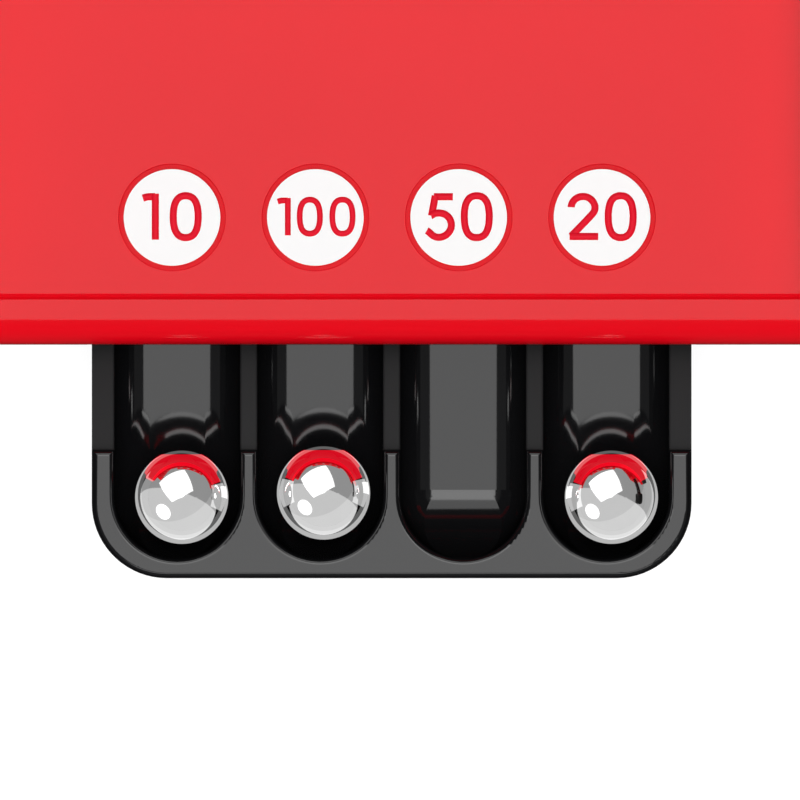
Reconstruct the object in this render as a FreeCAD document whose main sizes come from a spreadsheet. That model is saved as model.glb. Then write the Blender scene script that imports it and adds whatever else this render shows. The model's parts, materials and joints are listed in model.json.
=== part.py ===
"""Compact tabletop bagatelle: a sloping board with a ball tray under its front lip.

Board frame, before the game is stood on its feet: X to the right, Y up the
board, Z square to the board. X = 0 is the middle of the ball tray, Y = 0 the
front face of the lip and Z = 0 the underside of the case. stand_up() then
tilts everything back and puts the origin under the middle of the game, on the
table. All sizes are in millimetres.
"""
import FreeCAD, Part
import math
import os

import Sketcher

doc = FreeCAD.newDocument("Bagatelle")
os.makedirs("parts", exist_ok=True)


# ---------------------------------------------------------------- driving sizes
DRIVING = [
    # stance
    ("tilt", 5.5), ("foot_drop", 5.0), ("foot_r", 5.5), ("foot_y", 12.0), ("foot_in", 12.0),
    # balls, 7/16 inch
    ("ball_r", 5.556), ("ball_lift", 0.13), ("ball_y", -17.9),
    ("ball_10_off", 0.55), ("ball_100_off", 0.4), ("ball_20_off", 0.6),
    ("ball_100_back", 0.5),
    # case and board outline
    ("field_half", 49.0), ("fence_w", 2.0), ("shoot_w", 13.0), ("rail_w", 6.0),
    ("board_len", 226.0), ("deck_under", 15.3), ("deck_thick", 2.2), ("rail_h", 10.0),
    ("case_floor", 1.8), ("case_wall", 2.0), ("boss_r", 3.2), ("boss_in", 3.4),
    ("case_round", 1.2), ("rail_round", 1.4), ("edge_round", 0.6),
    # front lip, and the comb wall of the case below it
    ("lip_depth", 5.6), ("lip_round", 2.8), ("lip_wall", 2.0), ("lip_under", 11.9),
    ("comb_bottom", 0.4), ("groove_w", 0.35), ("groove_d", 0.2),
    ("tooth_gap", 0.4), ("tooth_foot", 4.5), ("tooth_head", 7.0), ("slot_side", 0.6),
    # ball tray
    ("tray_half", 35.17), ("tray_front", -27.4), ("tray_back", 40.0), ("tray_corner", 8.8),
    ("tray_lift", 0.3), ("tray_floor", 1.6), ("low_wall", 3.9), ("high_wall", 5.2),
    ("rim_back", -12.3), ("rim_round", 0.75), ("step_round", 0.75), ("lane_pitch", 16.77),
    ("lane_end", -17.75), ("lane_flat", 3.24), ("lane_fillet", 4.1), ("lane_edge", 0.7),
    ("wall_edge", 0.35), ("wall_in", 0.04), ("lane_head", 1.0),
    ("nest_start", -17.3), ("nest_r", 9.7), ("nest_half", 4.8),
    ("peg_r", 1.5), ("peg_y", 30.0), ("peg_play", 0.2), ("tray_travel", 11.5),
    # guides for the tray
    ("guide_front", 6.0), ("guide_back", 60.0), ("guide_gap", 0.5), ("guide_thick", 2.0),
    ("guide_over", 1.6), ("guide_cap", 1.2),
    # score discs
    ("disc_r", 5.65), ("disc_y", 14.86), ("disc_thick", 0.2), ("disc_off", -0.54),
    # gate bridge and the walls that lead to it
    ("gate_y", 46.5), ("gate_deep", 4.0), ("gate_half", 6.6), ("gate_spring", 5.8),
    ("gate_top", 15.2), ("gate_end", 2.4), ("guide_h", 9.0), ("guide_run", 22.0),
    ("guide_wall_w", 2.2),
    # shooter lane
    ("fence_end", 150.0), ("strip_thick", 0.5), ("strip_gap", 0.1), ("strip_h", 8.5),
    ("rod_r", 2.0), ("rod_run", 0.08), ("rod_up", 5.8), ("rod_tip", 50.0),
    ("block_y", 5.8), ("block_deep", 8.2), ("block_h", 11.5), ("block_gap", 0.1),
    ("knob_r", 6.0), ("knob_front", -25.0), ("knob_len", 11.0), ("neck_r", 3.0),
    ("knob_edge", 2.0), ("knob_rear", 1.5), ("knob_cup", 3.0), ("neck_gap", 0.2),
    ("washer_r", 4.2), ("washer_thick", 1.2), ("tip_r", 3.4), ("tip_len", 6.0),
    ("tip_round", 1.5), ("spring_r", 3.3), ("wire_r", 0.4), ("spring_turns", 11.0),
    ("spring_gap", 0.1), ("block_round", 1.5),
    # one-way gate
    ("flap_y", 145.0), ("flap_up", 13.0), ("flap_h", 11.6), ("flap_thick", 0.8),
    ("flap_side", 0.3), ("gate_pin_r", 0.7), ("pin_run", 0.06), ("barrel_wall", 0.8),
    ("bracket_w", 1.6), ("bracket_deep", 4.0), ("bracket_rise", 7.0), ("bracket_bar", 1.5),
    # rear stand
    ("stand_y", 196.0), ("stand_drop", 3.2), ("stand_half", 30.0), ("stand_thick", 3.0),
    ("stand_leg", 16.5), ("stand_barrel", 2.4), ("stand_web", 1.4), ("window_side", 12.0),
    ("window_edge", 5.0), ("stand_pin_r", 1.2), ("lug_w", 4.0),
    ("lug_gap", 0.4), ("lug_r", 3.0), ("stop_w", 14.0), ("stop_deep", 3.0), ("stop_h", 8.0),
    ("shoe_half", 6.0), ("shoe_thick", 5.6), ("shoe_grip", 3.0), ("shoe_in", 7.0),
    # nails and screws
    ("nail_r", 0.8), ("nail_head_r", 1.25), ("nail_head_h", 1.2), ("nail_crown", 0.8),
    ("nail_up", 11.0), ("nail_in", 1.4),
    ("nail_row", 15.0), ("nail_gap", 16.0), ("nail_first", 84.0), ("fan_r", 30.0), ("fan_up", 4.0),
    ("screw_r", 1.2), ("screw_hole", 1.35), ("screw_head_r", 2.4), ("screw_head_h", 1.3),
    ("screw_len", 22.5), ("screw_first", 14.0), ("screw_step", 71.0),
]


class Size:
    """A number with the expression that gives it, so that code and sheet agree."""

    def __init__(self, value, text):
        self.value = value
        self.text = text

    @staticmethod
    def of(other):
        return other if isinstance(other, Size) else Size(float(other), repr(float(other)))

    def mix(self, other, sign, value):
        return Size(value, "(%s %s %s)" % (self.text, sign, Size.of(other).text))

    def __add__(self, other):
        return self.mix(other, "+", self.value + Size.of(other).value)

    def __sub__(self, other):
        return self.mix(other, "-", self.value - Size.of(other).value)

    def __mul__(self, other):
        return self.mix(other, "*", self.value * Size.of(other).value)

    def __truediv__(self, other):
        return self.mix(other, "/", self.value / Size.of(other).value)

    def __radd__(self, other):
        return Size.of(other) + self

    def __rsub__(self, other):
        return Size.of(other) - self

    def __rmul__(self, other):
        return Size.of(other) * self

    def __neg__(self):
        return Size.of(0.0) - self


class Sizes:
    """The driving sizes by name."""


def make_sheet():
    sheet = doc.addObject("Spreadsheet::Sheet", "Sizes")
    named = Sizes()
    for row, (alias, number) in enumerate(DRIVING, start=1):
        sheet.set("A%d" % row, alias.replace("_", " "))
        sheet.set("B%d" % row, str(number))
        sheet.setAlias("B%d" % row, alias)
        setattr(named, alias, Size(number, "Sizes.%s" % alias))
    doc.recompute()
    return named


S = make_sheet()

# ---------------------------------------------------------------- worked out sizes
LEFT = -(S.field_half + S.rail_w)
FENCE = S.field_half
SHOOT_LEFT = S.field_half + S.fence_w
SHOOT_RIGHT = SHOOT_LEFT + S.shoot_w
RIGHT = SHOOT_RIGHT + S.rail_w
MIDDLE = (LEFT + RIGHT) * 0.5
OUTER_R = (RIGHT - LEFT) * 0.5
INNER_R = OUTER_R - S.rail_w
ARCH_Y = S.board_len - OUTER_R
DECK = S.deck_under + S.deck_thick
RAIL_TOP = DECK + S.rail_h
TRAY_BOTTOM = S.case_floor + S.tray_lift
LANE_FLOOR = TRAY_BOTTOM + S.tray_floor
LOW_TOP = LANE_FLOOR + S.low_wall
RIM_TOP = LANE_FLOOR + S.high_wall
LANE_HALF = S.lane_flat + S.lane_fillet
ROD_X = SHOOT_LEFT + S.shoot_w * 0.5
ROD_Z = DECK + S.rod_up
BALL_Z = LANE_FLOOR + S.ball_r + S.ball_lift
FLAP_Z = DECK + S.flap_up
LANES = [S.lane_pitch * (n - 1.5) for n in range(4)]
CASE_FRONT = S.lip_wall + 0.1
SCREW_SIDE = OUTER_R - S.boss_in
SCREWS = [(MIDDLE + SCREW_SIDE * side, S.screw_first + S.screw_step * n)
          for side in (-1, 1) for n in range(3)]
SCREWS.append((MIDDLE, S.board_len - S.boss_in))

finished = {}


# ---------------------------------------------------------------- helpers
def number(size):
    return Size.of(size).value


def bind(thing, name, size):
    """Bind a property to the sheet, or to a plain number where no size gives it."""
    thing.setExpression(name, Size.of(size).text)


def keep(name, thing):
    thing.Label = name
    finished[name] = thing
    return thing


def box(name, x, y, z):
    """Part box from three (low, high) pairs."""
    block = doc.addObject("Part::Box", name)
    for side, place, (low, high) in (("Length", "x", x), ("Width", "y", y), ("Height", "z", z)):
        bind(block, side, Size.of(high) - low)
        bind(block, "Placement.Base." + place, low)
    return block


def cylinder(name, axis, low, length, radius):
    """Part cylinder that starts at low and runs along +X, +Y or +Z."""
    drum = doc.addObject("Part::Cylinder", name)
    turn = {"X": (FreeCAD.Vector(0, 1, 0), 90), "Y": (FreeCAD.Vector(1, 0, 0), -90),
            "Z": (FreeCAD.Vector(0, 0, 1), 0)}[axis]
    drum.Placement = FreeCAD.Placement(FreeCAD.Vector(), FreeCAD.Rotation(*turn))
    bind(drum, "Radius", radius)
    bind(drum, "Height", length)
    for place, size in zip("xyz", low):
        bind(drum, "Placement.Base." + place, size)
    return drum


def fuse(name, *shapes):
    whole = doc.addObject("Part::MultiFuse", name)
    whole.Shapes = list(shapes)
    return whole


def cut(name, base, tool):
    rest = doc.addObject("Part::Cut", name)
    rest.Base = base
    rest.Tool = tool
    return rest


def plane_of(body, role):
    return [part for part in body.Origin.OriginFeatures if part.Role == role][0]


def sketch_on(body, role, height, loops):
    """Sketch on an origin plane, moved along its normal, with closed outlines.

    An outline is a list of corners (u, v) or (u, v, r). The third number is
    the radius of the arc from that corner to the next, positive when its
    centre lies on the left, as seen along the outline.
    """
    sketch = body.newObject("Sketcher::SketchObject", body.Name + "_sketch")
    sketch.AttachmentSupport = [(plane_of(body, role), "")]
    sketch.MapMode = "FlatFace"
    sketch.AttachmentOffset = FreeCAD.Placement(
        FreeCAD.Vector(0, 0, number(height)), FreeCAD.Rotation())
    bind(sketch, "AttachmentOffset.Base.z", height)
    for loop in loops:
        draw_loop(sketch, loop)
    return sketch


def draw_loop(sketch, corners):
    spots = [FreeCAD.Vector(number(c[0]), number(c[1]), 0) for c in corners]
    first = sketch.GeometryCount
    starts = []
    for here, corner in enumerate(corners):
        a, b = spots[here], spots[(here + 1) % len(spots)]
        if len(corner) == 2:
            sketch.addGeometry(Part.LineSegment(a, b), False)
            starts.append((1, 2))
            continue
        radius = number(corner[2])
        half = (b - a) * 0.5
        left = FreeCAD.Vector(-half.y, half.x, 0).normalize()
        rise = math.sqrt(max(radius * radius - half.Length ** 2, 0.0))
        centre = a + half + left * math.copysign(rise, radius)
        turn = Part.Circle(centre, FreeCAD.Vector(0, 0, 1), abs(radius))
        low, high = (a, b) if radius > 0 else (b, a)
        sketch.addGeometry(Part.ArcOfCircle(turn, turn.parameter(low), turn.parameter(high)), False)
        starts.append((1, 2) if radius > 0 else (2, 1))
    for here, corner in enumerate(corners):
        after = (here + 1) % len(corners)
        sketch.addConstraint(Sketcher.Constraint(
            "Coincident", first + here, starts[here][1], first + after, starts[after][0]))
    for here, corner in enumerate(corners):
        for kind, size in (("DistanceX", corner[0]), ("DistanceY", corner[1])):
            index = sketch.addConstraint(Sketcher.Constraint(
                kind, -1, 1, first + here, starts[here][0], number(size)))
            bind(sketch, "Constraints[%d]" % index, size)
        if len(corner) == 3:
            radius = Size.of(corner[2])
            index = sketch.addConstraint(Sketcher.Constraint(
                "Radius", first + here, abs(radius.value)))
            bind(sketch, "Constraints[%d]" % index, radius if radius.value > 0 else -radius)


# plane: (role, sign of its normal along the board axis)
PLANES = {"XY": ("XY_Plane", 1), "XZ": ("XZ_Plane", -1), "YZ": ("YZ_Plane", 1)}


def pad(body, plane, low, high, *loops):
    """Add material from low to high along the axis square to the plane."""
    role, sign = PLANES[plane]
    start = low if sign > 0 else -Size.of(low)
    feature = body.newObject("PartDesign::Pad", body.Name + "_pad")
    feature.Profile = sketch_on(body, role, start, loops)
    bind(feature, "Length", Size.of(high) - low)
    feature.Reversed = sign < 0
    return feature


def pocket(body, plane, low, high, *loops):
    """Take material away from low to high along the axis square to the plane."""
    role, sign = PLANES[plane]
    start = high if sign > 0 else -Size.of(low)
    feature = body.newObject("PartDesign::Pocket", body.Name + "_pocket")
    feature.Profile = sketch_on(body, role, start, loops)
    bind(feature, "Length", Size.of(high) - low)
    return feature


def turned(body, *loops):
    """Solid of revolution about the body's own Y axis; outlines in its XY plane."""
    feature = body.newObject("PartDesign::Revolution", body.Name + "_turn")
    sketch = sketch_on(body, "XY_Plane", 0.0, loops)
    feature.Profile = sketch
    feature.ReferenceAxis = (sketch, ["V_Axis"])
    feature.Angle = 360.0
    return feature


def rounded(body, radius, wanted, kind="Fillet"):
    """Round or chamfer the edges of the body's tip that wanted() accepts."""
    doc.recompute()
    tip = body.Tip
    names = ["Edge%d" % (n + 1) for n, edge in enumerate(tip.Shape.Edges) if wanted(edge)]
    feature = body.newObject("PartDesign::" + kind, body.Name + "_" + kind.lower())
    feature.Base = (tip, names)
    bind(feature, "Radius" if kind == "Fillet" else "Size", radius)
    return feature


def new_body(name):
    body = doc.addObject("PartDesign::Body", name)
    return keep(name, body)


def at_height(edge, height):
    spread = edge.BoundBox
    level = number(height)
    return abs(spread.ZMin - level) < 1e-4 and abs(spread.ZMax - level) < 1e-4


def upright_at(edge, x, y):
    """True for a straight upright edge through (x, y)."""
    spread = edge.BoundBox
    flat = spread.XLength < 1e-4 and spread.YLength < 1e-4
    return flat and abs(spread.XMin - number(x)) < 1e-3 and abs(spread.YMin - number(y)) < 1e-3


def arched(left, right, front, radius):
    """Outline with a straight front and a half-round far end."""
    top = ARCH_Y + radius
    return [(left, front), (right, front), (right, ARCH_Y, radius), (MIDDLE, top, radius),
            (left, ARCH_Y)]


def rectangle(left, right, low, high):
    return [(left, low), (right, low), (right, high), (left, high)]


# ---------------------------------------------------------------- case and board
def make_base_shell():
    body = new_body("base_shell")
    pad(body, "XY", 0.0, S.deck_under, arched(LEFT, RIGHT, CASE_FRONT, OUTER_R))
    behind_front = number(CASE_FRONT) + number(S.edge_round)
    rounded(body, S.case_round, lambda edge: at_height(edge, 0.0)
            and edge.BoundBox.YMax > behind_front)
    wall = S.case_wall
    pocket(body, "XY", S.case_floor, S.deck_under,
           arched(LEFT + wall, RIGHT - wall, CASE_FRONT + wall, OUTER_R - wall))
    opening = S.tray_half + S.slot_side
    pocket(body, "XZ", 0.0, CASE_FRONT + wall,
           rectangle(-opening, opening, S.case_floor, RIM_TOP + S.tooth_gap))
    add_comb(body, opening)
    add_bosses(body)
    pad(body, "XY", S.case_floor, LANE_FLOOR - 0.2, ring_loop(LANES[2], S.peg_y, S.peg_r))
    add_stand_mounts(body)


def add_comb(body, side):
    """Front wall under the red lip, with a tooth down into each lane of the tray."""
    back = CASE_FRONT + S.edge_round
    pad(body, "YZ", LEFT, RIGHT, rectangle(0.0, back, S.comb_bottom, S.lip_under))
    over, floor = LOW_TOP + S.tooth_gap, LANE_FLOOR + S.tooth_gap
    below = S.comb_bottom - 1.0
    comb = [(side, below), (side, over)]
    for lane in reversed(LANES):
        comb += [(lane + S.tooth_head, over), (lane + S.tooth_foot, floor),
                 (lane - S.tooth_foot, floor), (lane - S.tooth_head, over)]
    comb += [(-side, over), (-side, below)]
    pocket(body, "XZ", -1.0, back + 1.0, comb)


def ring_loop(x, y, radius):
    """Full circle as four quarter arcs."""
    return [(x + radius, y, radius), (x, y + radius, radius), (x - radius, y, radius),
            (x, y - radius, radius)]


def add_bosses(body):
    for x, y in SCREWS:
        pad(body, "XY", S.case_floor, S.deck_under, ring_loop(x, y, S.boss_r))
    for x, y in SCREWS:
        pocket(body, "XY", 0.0, S.deck_under, ring_loop(x, y, S.screw_hole))


def add_stand_mounts(body):
    """Two lugs that hold the stand's pin, and the rib that the open stand leans on."""
    inner = S.stand_half + S.lug_gap
    lug = [(S.stand_y - S.lug_r, 0.5), (S.stand_y - S.lug_r, -S.stand_drop, S.lug_r),
           (S.stand_y, -S.stand_drop - S.lug_r, S.lug_r), (S.stand_y + S.lug_r, -S.stand_drop),
           (S.stand_y + S.lug_r, 0.5)]
    for side in (-1, 1):
        low = inner if side > 0 else -inner - S.lug_w
        pad(body, "YZ", MIDDLE + low, MIDDLE + low + S.lug_w, lug)
    reach = inner + S.lug_w + 1.0
    pocket(body, "YZ", MIDDLE - reach, MIDDLE + reach,
           ring_loop(S.stand_y, -S.stand_drop, S.stand_pin_r + 0.01))
    behind = S.stand_y + S.stand_thick * 0.5 + 0.1
    for side in (-1, 1):
        edge = MIDDLE + side * (S.stand_half - S.stop_w * 0.5) - S.stop_w * 0.5
        pad(body, "YZ", edge, edge + S.stop_w,
            [(behind + 1.5, 0.5), (behind + 1.5, -S.stand_drop),
             (behind, -S.stand_drop - S.stand_barrel), (behind, -S.stop_h),
             (behind + S.stop_deep * 0.6, -S.stop_h), (behind + S.stop_deep + 2.0, 0.5)])


def make_front_lip():
    body = new_body("front_lip")
    top, under, wall = DECK, S.deck_under, S.lip_wall
    profile = [(0.0, S.lip_under), (wall, S.lip_under), (wall, under), (S.lip_depth, under),
               (S.lip_depth, top - S.groove_d), (S.lip_depth - S.groove_w, top),
               (S.lip_round, top, S.lip_round), (0.0, top - S.lip_round)]
    pad(body, "YZ", LEFT, RIGHT, profile)


def make_playfield():
    body = new_body("playfield")
    pad(body, "XY", S.deck_under, DECK, arched(LEFT, RIGHT, S.lip_depth, OUTER_R))
    front, reach, top = S.lip_depth, S.groove_w, DECK
    pocket(body, "YZ", LEFT, RIGHT,
           [(front, top - S.groove_d), (front + reach, top), (front + reach, top + 1.0),
            (front - 1.0, top + 1.0), (front - 1.0, top - S.groove_d)])


def make_rail_frame():
    body = new_body("rail_frame")
    front = S.lip_depth + 0.2
    far, near = S.board_len, ARCH_Y + INNER_R
    inner_left, inner_right = LEFT + S.rail_w, SHOOT_RIGHT
    loop = [(LEFT, front), (inner_left, front), (inner_left, ARCH_Y, -INNER_R),
            (MIDDLE, near, -INNER_R), (inner_right, ARCH_Y), (inner_right, front),
            (RIGHT, front), (RIGHT, ARCH_Y, OUTER_R), (MIDDLE, far, OUTER_R), (LEFT, ARCH_Y)]
    pad(body, "XY", DECK, RAIL_TOP, loop)
    corners = [(x, front) for x in (LEFT, inner_left, inner_right, RIGHT)]
    rounded(body, S.rail_round, lambda edge: any(upright_at(edge, x, y) for x, y in corners))
    rounded(body, S.rail_round, lambda edge: at_height(edge, RAIL_TOP))


def make_lane_fence():
    body = new_body("lane_fence")
    half = S.fence_w * 0.5
    x, front = FENCE + half, S.lip_depth + 0.2
    pad(body, "XY", DECK, RAIL_TOP,
        [(x - half, front), (x + half, front), (x + half, S.fence_end, half),
         (x, S.fence_end + half, half), (x - half, S.fence_end)])
    rounded(body, S.edge_round, lambda edge: at_height(edge, RAIL_TOP))


def make_arch_rail():
    body = new_body("arch_rail")
    outer = INNER_R - S.strip_gap
    inner = outer - S.strip_thick
    pad(body, "XY", DECK, DECK + S.strip_h,
        [(MIDDLE + outer, ARCH_Y, outer), (MIDDLE, ARCH_Y + outer, outer),
         (MIDDLE - outer, ARCH_Y), (MIDDLE - inner, ARCH_Y, -inner),
         (MIDDLE, ARCH_Y + inner, -inner), (MIDDLE + inner, ARCH_Y)])


# ---------------------------------------------------------------- ball tray
def make_ball_tray():
    body = new_body("ball_tray")
    pad(body, "XY", TRAY_BOTTOM, LOW_TOP, tray_loop(S.tray_back))
    pad(body, "XY", LOW_TOP, RIM_TOP, tray_loop(S.rim_back))
    rounded(body, S.rim_round, lambda edge: at_height(edge, RIM_TOP)
            and edge.BoundBox.YMin < number(S.rim_back) - 1e-3)
    pocket(body, "YZ", -S.tray_half - 1.0, S.tray_half + 1.0, step_loop())
    for lane in LANES:
        cut_lane(body, lane)
    for lane in LANES:
        pad(body, "YZ", lane - S.nest_half, lane + S.nest_half, nest_loop())
    slot = S.peg_r + S.peg_play
    x, low, high = LANES[2], S.peg_y - S.tray_travel - slot, S.peg_y + slot
    pocket(body, "XY", 0.0, LANE_FLOOR + 0.1, rectangle(x - slot, x + slot, low, high))


def tray_loop(back):
    half, front, corner = S.tray_half, S.tray_front, S.tray_corner
    return [(half, back), (-half, back), (-half, front + corner, corner), (corner - half, front),
            (half - corner, front, corner), (half, front + corner)]


def step_loop():
    """What the rounding takes off the upper back edge of the raised rim."""
    front, low, past = S.rim_back - S.step_round, RIM_TOP - S.step_round, S.lane_head
    return [(front, RIM_TOP, -S.step_round), (S.rim_back, low), (S.rim_back + past, low),
            (S.rim_back + past, RIM_TOP + past), (front, RIM_TOP + past)]


def lane_section(lane, half):
    """Lane section, up past the rounded edges of the rim: one side of it, or both."""
    floor, flat, fillet = LANE_FLOOR, S.lane_flat, S.lane_fillet
    head, top = LANE_HALF + S.lane_edge, RIM_TOP + S.lane_head
    edge = RIM_TOP - S.lane_edge
    right = [(lane + flat, floor, fillet), (lane + LANE_HALF, floor + fillet),
             (lane + LANE_HALF, edge, -S.lane_edge), (lane + head, RIM_TOP), (lane + head, top)]
    if half:
        return [(lane, floor)] + right + [(lane, top)]
    left = [(lane - head, top), (lane - head, RIM_TOP, -S.lane_edge), (lane - LANE_HALF, edge),
            (lane - LANE_HALF, floor + fillet, fillet), (lane - flat, floor)]
    return right + left


def wall_section(lane):
    """What the rounding takes off the inner edges of the low walls."""
    near, top = LANE_HALF - S.wall_in, LOW_TOP + S.lane_head
    low, far = LOW_TOP - S.wall_edge, near + S.wall_edge
    return [(lane + near, low, -S.wall_edge), (lane + far, LOW_TOP), (lane + far, top),
            (lane - far, top), (lane - far, LOW_TOP, -S.wall_edge), (lane - near, low)]


def cut_lane(body, lane):
    """A straight channel, and a half-round front end with the same section."""
    past = S.tray_back + 1.0
    pocket(body, "XZ", S.lane_end, past, lane_section(lane, False))
    pocket(body, "XZ", S.rim_back, past, wall_section(lane))
    sketch = sketch_on(body, "XZ_Plane", -S.lane_end, [lane_section(lane, True)])
    groove = body.newObject("PartDesign::Groove", "ball_tray_groove")
    groove.Profile = sketch
    doc.recompute()
    line = sketch.GeometryCount - 1
    groove.ReferenceAxis = (sketch, ["Edge%d" % (line + 1)])
    groove.Angle = 360.0


def nest_loop():
    """Filling under the dished front end: its top is an arc that a ball settles in."""
    lift = S.high_wall.value
    reach = math.sqrt(S.nest_r.value ** 2 - (S.nest_r.value - lift) ** 2)
    end = S.nest_start - reach
    return [(S.nest_start, LANE_FLOOR - 0.5), (S.nest_start, LANE_FLOOR, -S.nest_r),
            (end, RIM_TOP), (end - 0.1, RIM_TOP), (end - 0.1, LANE_FLOOR - 0.5)]


def make_tray_guides():
    """Channels either side of the tray, with a cap over its low walls."""
    foot = S.tray_half + S.guide_gap
    low, under = S.case_floor, LOW_TOP + S.tooth_gap
    top = under + S.guide_cap
    inner, outer = foot - S.guide_over, foot + S.guide_thick
    right = [(foot, low), (outer, low), (outer, top), (inner, top), (inner, under), (foot, under)]
    left = [(-u, v) for u, v in reversed(right)]
    for name, loop in (("tray_guide_left", left), ("tray_guide_right", right)):
        pad(new_body(name), "XZ", S.guide_front, S.guide_back, loop)


def make_balls():
    spots = (("ball_10", LANES[0] + S.ball_10_off, S.ball_y),
             ("ball_100", LANES[1] + S.ball_100_off, S.ball_y + S.ball_100_back),
             ("ball_20", LANES[3] + S.ball_20_off, S.ball_y))
    for name, x, y in spots:
        ball = keep(name, doc.addObject("Part::Sphere", name))
        bind(ball, "Radius", S.ball_r)
        for place, size in zip("xyz", (x, y, BALL_Z)):
            bind(ball, "Placement.Base." + place, size)


# ---------------------------------------------------------------- on the board
def make_score_discs():
    for lane, score in zip(LANES, (10, 100, 50, 20)):
        name = "score_disc_%d" % score
        keep(name, cylinder(name, "Z", (lane + S.disc_off, S.disc_y, DECK), S.disc_thick, S.disc_r))


def make_gate_bridge():
    """Wall across the board with an arched gate in line with each lane."""
    body = new_body("gate_bridge")
    end = LANES[3] + S.gate_half + S.gate_end
    top, spring = DECK + S.gate_top, DECK + S.gate_spring
    loop = [(end, DECK), (end, top), (-end, top), (-end, DECK)]
    for lane in LANES:
        loop += [(lane - S.gate_half, DECK), (lane - S.gate_half, spring, -S.gate_half),
                 (lane, spring + S.gate_half, -S.gate_half), (lane + S.gate_half, spring),
                 (lane + S.gate_half, DECK)]
    pad(body, "XZ", S.gate_y, S.gate_y + S.gate_deep, loop)
    rounded(body, S.edge_round, lambda edge: at_height(edge, top))


def make_guide_walls():
    """Slanting walls from the side rails to the outer gates."""
    near = LANES[3] + S.gate_half + S.gate_end - 0.4
    far, low = S.field_half, S.gate_y + S.gate_deep + 0.1
    high = low + S.guide_run
    right = [(near, low), (near + S.guide_wall_w, low), (far, high - S.guide_wall_w), (far, high)]
    left = [(-u, v) for u, v in reversed(right)]
    for name, loop in (("guide_wall_left", left), ("guide_wall_right", right)):
        body = new_body(name)
        pad(body, "XY", DECK, DECK + S.guide_h, loop)
        rounded(body, S.edge_round, lambda edge: at_height(edge, DECK + S.guide_h))


def nail_spots():
    """Staggered rows, then a fan of nails below the arch."""
    spots = []
    for row in range(5):
        y = S.nail_first.value + row * S.nail_row.value
        count, start = (5, -2.0) if row % 2 == 0 else (6, -2.5)
        spots += [((start + n) * S.nail_gap.value, y) for n in range(count)]
    for n in range(7):
        angle = math.radians(30 + 20 * n)
        spots.append((MIDDLE.value + S.fan_r.value * math.cos(angle),
                      ARCH_Y.value + S.fan_up.value + S.fan_r.value * math.sin(angle)))
    return spots


def make_pins():
    """Round-headed nails, driven into the board: one nail, set at each spot."""
    foot, head = -S.nail_in.value, S.nail_up.value - S.nail_head_h.value
    shank = Part.makeCylinder(S.nail_r.value, head - foot, FreeCAD.Vector(0, 0, foot))
    cap = Part.makeCylinder(S.nail_head_r.value, S.nail_head_h.value, FreeCAD.Vector(0, 0, head))
    rim = [edge for edge in cap.Edges if at_height(edge, S.nail_up)]
    nail = shank.fuse(cap.makeFillet(S.nail_crown.value, rim))
    group = keep("playfield_pins", doc.addObject("Part::Feature", "playfield_pins"))
    group.Shape = Part.makeCompound([
        nail.translated(FreeCAD.Vector(x, y, DECK.value)) for x, y in nail_spots()])


# ---------------------------------------------------------------- shooter
def make_plunger_housing():
    body = new_body("plunger_housing")
    low, high = SHOOT_LEFT + S.block_gap, SHOOT_RIGHT - S.block_gap
    back = S.block_y + S.block_deep
    pad(body, "XZ", S.block_y, back, rectangle(low, high, DECK, DECK + S.block_h))
    pocket(body, "XZ", S.block_y - 1.0, back + 1.0,
           ring_loop(ROD_X, ROD_Z, S.rod_r + S.rod_run))
    rounded(body, S.block_round, lambda edge: at_height(edge, DECK + S.block_h)
            and edge.BoundBox.XLength < 0.01)


def on_rod(body):
    """Turned parts are drawn about their own axis and then set on the rod's line."""
    body.Placement = FreeCAD.Placement(
        FreeCAD.Vector(ROD_X.value, 0, ROD_Z.value), FreeCAD.Rotation())
    bind(body, "Placement.Base.x", ROD_X)
    bind(body, "Placement.Base.z", ROD_Z)


def make_plunger():
    cup = S.knob_front + S.knob_cup
    rod = new_body("plunger_rod")
    turned(rod, [(0.0, cup), (S.rod_r, cup), (S.rod_r, S.rod_tip), (0.0, S.rod_tip)])
    knob = new_body("plunger_knob")
    front, back = S.knob_front, S.knob_front + S.knob_len
    bore, neck_end = S.rod_r + 0.01, S.block_y - S.neck_gap
    turned(knob, [(0.0, front), (S.knob_r - S.knob_edge, front, S.knob_edge),
                  (S.knob_r, front + S.knob_edge), (S.knob_r, back - S.knob_rear, S.knob_rear),
                  (S.knob_r - S.knob_rear, back), (S.neck_r + S.knob_edge, back, -S.knob_edge),
                  (S.neck_r, back + S.knob_edge), (S.neck_r, neck_end), (bore, neck_end),
                  (bore, cup - 0.01), (0.0, cup - 0.01)])
    washer = new_body("plunger_washer")
    seat = S.rod_tip - S.tip_len + S.tip_round
    turned(washer, [(bore, seat - S.washer_thick), (S.washer_r, seat - S.washer_thick),
                    (S.washer_r, seat), (bore, seat)])
    tip = new_body("plunger_tip")
    end = seat + S.tip_len
    turned(tip, [(bore, seat), (S.tip_r, seat), (S.tip_r, end - S.tip_round, S.tip_round),
                 (S.tip_r - S.tip_round, end), (0.0, end), (0.0, S.rod_tip + 0.01),
                 (bore, S.rod_tip + 0.01)])
    for body in (rod, knob, washer, tip):
        on_rod(body)
    make_spring(seat - S.washer_thick)


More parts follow.
